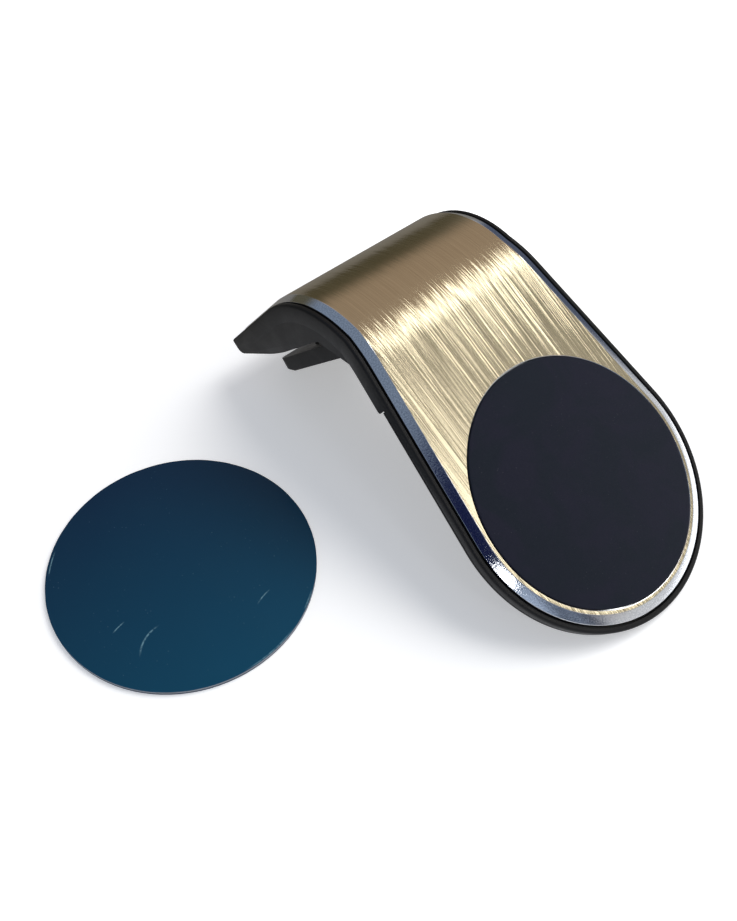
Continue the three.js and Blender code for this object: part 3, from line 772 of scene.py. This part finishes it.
def facePlate():
    radius = leg["headRadius"] - plate["lip"] - plate["gap"]
    end = legEnd - plate["lip"] - plate["gap"]
    obj = flatStrip("facePlate", radius, end, plate["bevelDrop"], plate["thickness"])
    openUp(obj)
    grab(obj, "FACE", lambda f: f.normal.z > 0.9)
    bpy.ops.mesh.inset(thickness=plate["bevelWidth"], depth=plate["bevelDrop"])
    bevelEdges(obj, lambda e: middle(e).z > -0.001 and e.calc_face_angle(0) > 0.1, plate["edge"], 2)
    bevelEdges(obj, lambda e: abs(middle(e).z + plate["bevelDrop"]) < 0.001
               and abs(e.verts[0].co.z - e.verts[1].co.z) < 0.001, plate["lowerEdge"], 2)
    close()
    cutter = rod("cutter", plate["pocketRadius"], -plate["pocketDepth"], 1, sides=240)
    combine(obj, cutter, "DIFFERENCE")
    openUp(obj)
    rim = plate["pocketRadius"]
    bevelEdges(obj, lambda e: middle(e).z > -0.01
               and all(abs(v.co.xy.length - rim) < 0.01 for v in e.verts), plate["pocketChamfer"], 2)
    close()
    for face in obj.data.polygons:
        onTop = face.normal.z > 0.999 and face.center.z > -0.01
        face.material_index = 0 if onTop else 1
    layFlatMap(obj)
    curlOver(obj)
    settle(obj, legToWorld, 9)
    indices = [face.material_index for face in obj.data.polygons]
    dress(obj, [gold, cutEdge], "mount", "gold_aluminium", "face_plate")
    for face, index in zip(obj.data.polygons, indices):
        face.material_index = index


def magnetPad():
    obj = rod("magnetPad", pad["radius"], pad["proud"] - pad["thickness"], pad["proud"], sides=240)
    openUp(obj)
    bevelEdges(obj, lambda e: middle(e).z > pad["proud"] - 0.001, pad["round"], 4)
    grab(obj, "FACE", lambda f: f.normal.z > 0.99)
    bpy.ops.mesh.inset(thickness=pad["skinEdge"], depth=pad["skinRise"])  # drawn in along its cut edge
    close()
    settle(obj, legToWorld, 40)
    dress(obj, [padSkin], "mount", "pad", "magnet_pad")


body = {"lipTop": 0.5, "headBottom": 1.7, "shoulder": 3.3, "shoulderStart": 25.4, "recess": 1.15,
        "lip": 0.85, "rimRound": 0.34, "rimInner": 0.14, "underRound": 0.2, "tipRound": 1.0,
        "shoulderRound": 0.55, "lugRound": 0.15, "flareRound": 3.0, "wedgeRound": 0.3,
        "bossRadius": 16.0, "bossBottom": 3.75, "magnetTop": 1.85, "magnetRadius": 5.15,
        "magnetPitch": 10.2, "magnets": 6, "screwRadius": 0.85, "screwPitch": 14.4, "screws": 3,
        "screwTip": 2.25, "slotCeiling": 3.25, "slotBack": -2, "flareStart": 11.3, "sink": 0.012,
        "lugRadius": 2.6, "lugWidth": 2.6, "lugInner": 7.2, "pinHole": 1.15,
        "gripStart": 4.4, "gripLength": 7, "gripWidth": 15, "gripGap": 0.1, "gripTop": 3.95}


def slotToLeg():  # from the clip's axes to the leg's, in millimetres
    back = legToWorld.inverted() @ clipToWorld
    back.translation *= 1000
    return back


def legSide(a, b):  # leg (y, z) of a point in the clip's side view
    point = slotToLeg() @ Vector((0, a, b))
    return point.y, point.z


def ringPlaces(count, pitch, firstAngle):
    angles = [rad(firstAngle + 360 * i / count) for i in range(count)]
    return [(pitch * math.cos(a), pitch * math.sin(a)) for a in angles]


def headShell():  # tray for the plate, thicker past the cover, with the boss behind the magnets
    b = body
    obj = flatStrip("bodyShell", leg["headRadius"], legEnd, b["lipTop"], b["headBottom"])
    openUp(obj)
    cutAcross((0, b["shoulderStart"], 0), (0, 1, 0))
    grab(obj, "FACE", lambda f: f.normal.z < -0.9 and middle(f).y > b["shoulderStart"])
    extrude((0, 0, b["headBottom"] - b["shoulder"]))
    grab(obj, "FACE", lambda f: f.normal.z > 0.9)
    bpy.ops.mesh.inset(thickness=b["lip"], depth=0)
    extrude((0, 0, b["lipTop"] - b["recess"]))
    bevelEdges(obj, lambda e: allAt(e, -b["shoulder"]) and all(v.co.y > legEnd - 0.001 for v in e.verts),
               b["tipRound"], 6)
    bevelEdges(obj, lambda e: allAt(e, -b["shoulder"])
               and all(abs(v.co.y - b["shoulderStart"]) < 0.001 for v in e.verts), b["shoulderRound"], 5)
    for radius, width, steps in ((leg["headRadius"], b["rimRound"], 4),
                                 (leg["headRadius"] - b["lip"], b["rimInner"], 2)):
        bevelEdges(obj, lambda e: allAt(e, -b["lipTop"]) and sharpness(e) > 80
                   and onOutline(middle(e), radius), width, steps)
    bevelEdges(obj, lambda e: sharpness(e) > 80 and middle(e).z < -b["headBottom"] + 0.001
               and (onOutline(middle(e), leg["headRadius"])
                    or abs(middle(e).y - b["shoulderStart"]) < 0.01)
               and abs(e.verts[0].co.z - e.verts[1].co.z) < 0.001 and middle(e).y < legEnd - 2,
               b["underRound"], 3)
    close()
    combine(obj, rod("boss", b["bossRadius"], -b["bossBottom"], -b["recess"] - 0.4, sides=128), "UNION")
    for x, y in ringPlaces(b["magnets"], b["magnetPitch"], 0):
        combine(obj, rod("pocket", b["magnetRadius"], -b["bossBottom"] - 1, -b["magnetTop"], x, y, 64),
                "DIFFERENCE")
    for x, y in ringPlaces(b["screws"], b["screwPitch"], 30):
        combine(obj, rod("hole", b["screwRadius"], -b["bossBottom"] - 1, -b["screwTip"], x, y, 32),
                "DIFFERENCE")
    return obj


def onOutline(point, radius):  # on the side of an outline of this head radius
    if point.y < radius * math.sin(rad(leg["taper"])):
        return abs(point.xy.length - radius) < 0.05
    return abs(abs(point.x) - halfWidth(radius, point.y)) < 0.03 or point.y > legEnd - 0.03 - (
        leg["headRadius"] - radius)


def wedge():  # thick root under the bend, down to the slot's ceiling
    b = body
    half = halfWidth(leg["headRadius"], taperEnd) - b["sink"]
    inside = (b["recess"] + b["shoulder"]) / 2
    corner = legEnd - b["sink"]
    curve = [sideView(s, inside) for s in reversed(stations()[::2])]
    outline = [legSide(b["slotBack"], b["slotCeiling"]), legSide(b["flareStart"], b["slotCeiling"]),
               sideView(corner, b["shoulder"]), sideView(corner, inside)] + curve
    points = [(-half, y, z) for y, z in outline]
    obj = startChain("wedge", points[0])
    drawTo(obj, points[1:])
    fillChain(obj, (2 * half, 0, 0))
    openUp(obj)
    flare, tip = Vector((0, *outline[1])), Vector((0, *outline[2]))
    for spot, width in ((flare, b["flareRound"]), (tip, b["tipRound"])):
        bevelEdges(obj, lambda e: abs(e.verts[0].co.x - e.verts[1].co.x) > 1
                   and (middle(e) - spot).length < 0.01, width, 8)
    low = [Vector((0, *p)) for p in outline[:3]]
    bevelEdges(obj, lambda e: sharpness(e) > 60 and abs(abs(middle(e).x) - half) < 0.001
               and all(nearPath(v.co, low) for v in e.verts), b["wedgeRound"], 4)
    close()
    return obj


def nearLine(point, a, c):
    t = max(0, min(1, (point - a).dot(c - a) / (c - a).length_squared))
    return (a + (c - a) * t - point).length


def nearPath(point, path):  # as seen from the side
    flat = Vector((0, point.y, point.z))
    return any(nearLine(flat, a, c) < 0.45 for a, c in zip(path, path[1:]))


def lug(low, high):  # ear that holds the pin, in the clip's axes
    b = body
    arc = [rad(-90 + 180 * i / 24) for i in range(25)]
    reach = (b["recess"] + b["shoulder"]) / 2 + slotToLeg().translation.z
    points = [(low, b["lugRadius"] * math.cos(a), b["lugRadius"] * math.sin(a)) for a in arc]
    points += [(low, reach, b["lugRadius"]), (low, reach, -b["lugRadius"])]
    obj = startChain("lug", points[0])
    drawTo(obj, points[1:])
    fillChain(obj, (high - low, 0, 0))
    openUp(obj)
    bevelEdges(obj, lambda e: sharpness(e) > 60 and middle(e).y > reach + 0.5, b["lugRound"], 2)
    close()
    return obj


def turned(obj, matrix):
    solo(obj)
    obj.matrix_world = matrix
    return applyPlace(obj)


def bodyShell():
    b = body
    obj = headShell()
    layFlatMap(obj)
    curlOver(obj)
    toLeg = slotToLeg()
    combine(obj, wedge(), "UNION")
    inner, outer = b["lugInner"], b["lugInner"] + b["lugWidth"]
    for low, high in ((inner, outer), (-outer, -inner)):
        combine(obj, turned(lug(low, high), toLeg), "UNION")
    hole = crossRod("pinHole", b["pinHole"], -outer - 1, outer + 1, 48)
    combine(obj, turned(hole, toLeg), "DIFFERENCE")
    half = b["gripWidth"] / 2 + b["gripGap"]
    seat = brick("gripSeat", (-half, half), (b["gripStart"] - b["gripGap"],
                 b["gripStart"] + b["gripLength"] + b["gripGap"]), (b["slotCeiling"] - 1, b["gripTop"]))
    combine(obj, turned(seat, toLeg), "DIFFERENCE")
    settle(obj, legToWorld, 24)
    dress(obj, [shellPlastic], "mount", "black_plastic", "body_shell")


cover = {"top": 1.8, "bottom": 2.4, "edge": 0.5, "end": 25.2, "domeRadius": 17.2, "domeBottom": 5.25,
         "domeRound": 0.8, "cavityRadius": 16.15, "cavityTop": 4.35, "holeRadius": 0.85,
         "seatRadius": 1.6, "seatDepth": 0.45, "seatRound": 0.15, "partingRound": 0.08}


def rearCover():
    c = cover
    obj = flatStrip("rearCover", leg["headRadius"], c["end"], c["top"], c["bottom"])
    openUp(obj)
    bevelEdges(obj, lambda e: middle(e).z < -c["bottom"] + 0.001, c["edge"] * 0.7, 4)
    bevelEdges(obj, lambda e: middle(e).z > -c["top"] - 0.001, c["partingRound"], 2)
    close()
    dome = rod("dome", c["domeRadius"], -c["domeBottom"], -c["top"], sides=160)
    openUp(dome)
    bevelEdges(dome, lambda e: middle(e).z < -c["domeBottom"] + 0.001, c["domeRound"], 5)
    close()
    combine(obj, dome, "UNION")
    combine(obj, rod("cavity", c["cavityRadius"], -c["cavityTop"], 0, sides=128), "DIFFERENCE")
    for x, y in ringPlaces(body["screws"], body["screwPitch"], 30):
        combine(obj, rod("hole", c["holeRadius"], -c["domeBottom"] - 1, 0, x, y, 32), "DIFFERENCE")
        combine(obj, rod("seat", c["seatRadius"], -c["domeBottom"] - 1, -c["domeBottom"] + c["seatDepth"],
                         x, y, 48), "DIFFERENCE")
        openUp(obj)
        spot = Vector((x, y))
        bevelEdges(obj, lambda e: allAt(e, -c["domeBottom"]) and all(
                   abs((v.co.xy - spot).length - c["seatRadius"]) < 0.01 for v in e.verts),
                   c["seatRound"], 2)
        close()
    settle(obj, legToWorld, 24)
    dress(obj, [coverPlastic], "mount", "black_plastic", "rear_cover")


screw = {"radius": 0.75, "length": 2.5, "headRadius": 1.5, "headHeight": 0.4, "cross": 0.42,
         "crossLength": 1.9, "crossDepth": 0.28, "thread": 0.35, "threadDepth": 0.14, "threadStart": 0.2,
         "round": 0.14, "turn": 0.3}


def coverScrew(name, x, y, node):
    c = screw
    under = -cover["domeBottom"] + c["headHeight"]
    obj = rod(name, c["headRadius"], -cover["domeBottom"], under, sides=48)
    openUp(obj)
    bevelEdges(obj, lambda e: middle(e).z < -cover["domeBottom"] + 0.001, c["round"], 3)
    close()
    shaft = rod("shaft", c["radius"] - c["threadDepth"], under - 0.05, under + c["length"], sides=32)
    openUp(shaft)  # a ring of thread every pitch
    count = 2 * int(c["length"] / c["thread"])
    cuts = [under + c["threadStart"] + i * c["thread"] / 2 for i in range(count)]
    for z in cuts:
        cutAcross((0, 0, z), (0, 0, 1))
    ridges = cuts[1::2]
    grab(shaft, "VERT", lambda v: any(abs(v.co.z - ridge) < 0.01 for ridge in ridges))
    swell = c["radius"] / (c["radius"] - c["threadDepth"])
    bpy.ops.transform.resize(value=(swell, swell, 1))
    close()
    combine(obj, shaft, "UNION")
    for wide, long in ((c["cross"], c["crossLength"]), (c["crossLength"], c["cross"])):
        slot = brick("slot", (-wide / 2, wide / 2), (-long / 2, long / 2),
                     (-cover["domeBottom"] - 1, -cover["domeBottom"] + c["crossDepth"]))
        combine(obj, slot, "DIFFERENCE")
    turned(obj, Matrix.Translation((x, y, 0)) @ Matrix.Rotation(math.atan2(y, x) + c["turn"], 4, "Z"))
    settle(obj, legToWorld, 30)
    dress(obj, [screwSteel], "mount", "screw_steel", node)


jaw = {"width": 21.6, "top": 0.7, "bottom": -2.1, "start": 3.2, "noseRadius": 0.9, "noseLength": 3.6,
       "noseOffset": -0.15, "noseFrom": -55, "noseTo": 75, "corner": 3, "barrelRadius": 2.5,
       "barrelWidth": 13.8, "pinHole": 1.15, "round": 0.22, "springHalf": 1.73, "springBack": 2.5,
       "legX": -1.125, "legHalf": 0.43, "legEnd": 6.75, "legTop": -1.55, "gripStart": 4.4,
       "gripLength": 14, "gripBottom": 0.45}


def noseAlong():  # the nose rests on the floor
    down = rad(slotAngle - leg["tilt"])
    drop = pivot.z / mm + jaw["noseOffset"] * math.cos(down) - jaw["noseRadius"]
    return drop / math.sin(down)


def arcPoints(x, y, radius, low, high, steps):
    angles = [rad(low + (high - low) * i / steps) for i in range(steps + 1)]
    return [(x + radius * math.cos(a), y + radius * math.sin(a)) for a in angles]


def clipJaw():
    j = jaw
    tip = noseAlong()
    side = [(0, j["top"]), (0, j["bottom"]), (tip - j["noseLength"], j["bottom"])]
    side += arcPoints(tip, j["noseOffset"], j["noseRadius"], j["noseFrom"], j["noseTo"], 14)
    side += [(tip - j["noseLength"], j["top"])]
    half = j["width"] / 2
    obj = startChain("clipJaw", (-half, *side[0]))
    drawTo(obj, [(-half, y, z) for y, z in side[1:]])
    fillChain(obj, (j["width"], 0, 0))
    narrow = j["barrelWidth"] / 2
    wide = half + 0.01
    end = tip + j["noseRadius"] - j["corner"]
    plan = [(-narrow, -1), (narrow, -1), (narrow, j["start"]), (wide, j["start"])]
    plan += arcPoints(wide - j["corner"], end, j["corner"], 0, 90, 12)
    plan += arcPoints(j["corner"] - wide, end, j["corner"], 90, 180, 12)
    plan += [(-wide, j["start"]), (-narrow, j["start"])]
    cutter = startChain("plan", (*plan[0], -4))
    drawTo(cutter, [(x, y, -4) for x, y in plan[1:]])
    fillChain(cutter, (0, 0, 8))
    combine(obj, cutter, "INTERSECT")
    openUp(obj)
    bevelEdges(obj, lambda e: sharpness(e) > 50 and middle(e).y > 0.1, j["round"], 3)
    close()
    combine(obj, crossRod("barrel", j["barrelRadius"], -narrow, narrow, 72), "UNION")
    combine(obj, crossRod("hole", j["pinHole"], -half - 1, half + 1, 48), "DIFFERENCE")
    gap = body["gripGap"]
    grip = body["gripWidth"] / 2 + gap
    arm = (j["legX"] - j["legHalf"], j["legX"] + j["legHalf"])
    seat = (j["gripStart"] - gap, j["gripStart"] + j["gripLength"] + gap)
    # room for the spring's coil, for its arm, and for the grip pad
    for x, y, z in (((-j["springHalf"], j["springHalf"]), (-4, j["springBack"]), (-4, 4)),
                    (arm, (0, j["legEnd"]), (-4, j["legTop"])),
                    ((-grip, grip), seat, (j["gripBottom"], 3))):
        combine(obj, brick("hollow", x, y, z), "DIFFERENCE")
    settle(obj, clipToWorld, 24)
    dress(obj, [jawPlastic], "jaw", "black_plastic", "clip_jaw")


grips = {"width": 15, "rib": 1.0, "groove": 0.3, "edge": 0.12,
         "upperGrip": {"along": (4.4, 11.4), "height": (2.9, 3.9), "outward": -1, "body": "mount",
                       "node": "upper_grip_pad"},
         "lowerGrip": {"along": (4.4, 18.4), "height": (0.5, 1.5), "outward": 1, "body": "jaw",
                       "node": "lower_grip_pad"}}


def gripPad(name):
    g, own = grips, grips[name]
    (low, high), (bottom, top), outward = own["along"], own["height"], own["outward"]
    half = g["width"] / 2
    obj = brick(name, (-half, half), (low, high), (bottom, top))
    openUp(obj)
    count = int((high - low) / g["rib"])
    edges = [low + (high - low) * (i + 1) / (count + 1) for i in range(count)]
    for y in edges:
        cutAcross((0, y, 0), (0, 1, 0))
    bounds = [low] + edges + [high]
    grooves = [(bounds[i] + bounds[i + 1]) / 2 for i in range(1, len(bounds) - 1, 2)]
    face = top if outward > 0 else bottom
    grab(obj, "FACE", lambda f: abs(middle(f).z - face) < 0.001
         and any(abs(middle(f).y - y) < 0.01 for y in grooves))
    extrude((0, 0, -outward * g["groove"]))
    bevelEdges(obj, lambda e: sharpness(e) > 60 and abs(middle(e).z - face) < 0.001, g["edge"], 2)
    close()
    settle(obj, clipToWorld, 40)
    dress(obj, [silicone], own["body"], "silicone", own["node"])


pin = {"radius": 1.0, "round": 0.18, "dishEdge": 0.3, "dishDepth": 0.06}


def pivotPin():
    end = body["lugInner"] + body["lugWidth"]
    obj = crossRod("jawPin", pin["radius"], -end, end, 48)
    openUp(obj)
    bevelEdges(obj, lambda e: abs(abs(middle(e).x) - end) < 0.001, pin["round"], 3)
    grab(obj, "FACE", lambda f: abs(f.normal.x) > 0.99)
    bpy.ops.mesh.inset(thickness=pin["dishEdge"], depth=-pin["dishDepth"], use_individual=True)
    close()
    settle(obj, clipToWorld, 35)
    dress(obj, [pinSteel], "mount", "steel", "jaw_pin")


spring = {"radius": 1.9, "wire": 0.25, "turns": 3, "pitch": 0.75, "arm": 6.4, "tail": 5.699,
          "stepsPerTurn": 36, "lead": 0.4}


def jawSpring():
    c = spring
    half = c["turns"] * c["pitch"] / 2
    points = [(-half, c["arm"], -c["radius"]), (-half, c["lead"], -c["radius"])]
    steps = c["turns"] * c["stepsPerTurn"]
    for i in range(steps + 1):
        a = rad(-90 - 360 * c["turns"] * i / steps)
        x = -half + 2 * half * i / steps
        points.append((x, c["radius"] * math.cos(a), c["radius"] * math.sin(a)))
    points += [(half, -c["lead"], -c["radius"]), (half, -c["tail"], -c["radius"])]
    line = bpy.data.curves.new("jawSpring", "CURVE")
    line.dimensions = "3D"
    line.bevel_depth = c["wire"]
    line.bevel_resolution = 3
    line.use_fill_caps = True
    path = line.splines.new("POLY")
    path.points.add(len(points) - 1)
    for point, place in zip(path.points, points):
        point.co = (*place, 1)
    obj = bpy.data.objects.new("jawSpring", line)
    bpy.context.collection.objects.link(obj)
    solo(obj)
    bpy.ops.object.convert(target="MESH")
    obj = bpy.context.object
    settle(obj, clipToWorld, 50)
    dress(obj, [springSteel], "jaw", "steel", "jaw_spring")


disc = {"radius": 20, "steelBottom": 0.32, "steelTop": 0.72, "filmTop": 0.82, "edge": 0.06,
        "filmInsets": (0.5, 0.6), "waves": ((0.012, 9, 0), (0.010, 23, 1), (0.008, 41, 2)), "trim": 0.01}


def phonePlate():
    d = disc
    obj = rod("phonePlate", d["radius"], d["steelBottom"], d["steelTop"], sides=240)
    openUp(obj)
    bevelEdges(obj, lambda e: sharpness(e) > 60, d["edge"], 2)
    close()
    settle(obj, discToWorld, 40)
    dress(obj, [discSteel], "phone_disc", "steel", "phone_plate")


def wobble(angle):  # how far the film's cut edge wanders
    return sum(size * math.sin(count * angle + start) for size, count, start in disc["waves"])


def protectiveFilm():  # its edge is a little uneven
    d = disc
    obj = rod("protectiveFilm", d["radius"], d["steelTop"], d["filmTop"], sides=360)
    openUp(obj)
    grab(obj, "FACE", lambda f: f.normal.z > 0.99)
    for width in d["filmInsets"]:
        bpy.ops.mesh.inset(thickness=width, depth=0)
    shape = bmesh.from_edit_mesh(obj.data)
    for vertex in shape.verts:
        if vertex.co.xy.length > d["radius"] - 0.1:
            shift = wobble(math.atan2(vertex.co.y, vertex.co.x)) - d["trim"]
            vertex.co.xy *= 1 + min(0, shift) / d["radius"]
    bmesh.update_edit_mesh(obj.data)
    close()
    settle(obj, discToWorld, 40)
    dress(obj, [blueFilm], "phone_disc", "blue_film", "protective_film")


facePlate()
magnetPad()
print("plate and pad are cut")
bodyShell()
rearCover()
print("body and cover are moulded")
for i, (x, y) in enumerate(ringPlaces(body["screws"], body["screwPitch"], 30), 1):
    coverScrew("coverScrew." + str(i), x, y, "cover_screw_" + str(i))
clipJaw()
gripPad("upperGrip")
gripPad("lowerGrip")
pivotPin()
jawSpring()
print("clip is fitted")
phonePlate()
protectiveFilm()
print("disc is laid down")

# pieces that keep their CAD shape
cadLooks = {"plate_film": glueFilm, "pad_glue": glueFilm, "yoke_plate": yokeSteel,
            "phone_plate_glue": glueFilm, "release_liner": linerPaper}
cadLooks.update({"magnet_" + str(i): nickel for i in range(1, body["magnets"] + 1)})
for name, material in cadLooks.items():
    nodes[name].data.materials.clear()
    nodes[name].data.materials.append(material)
print("inner pieces have their materials")
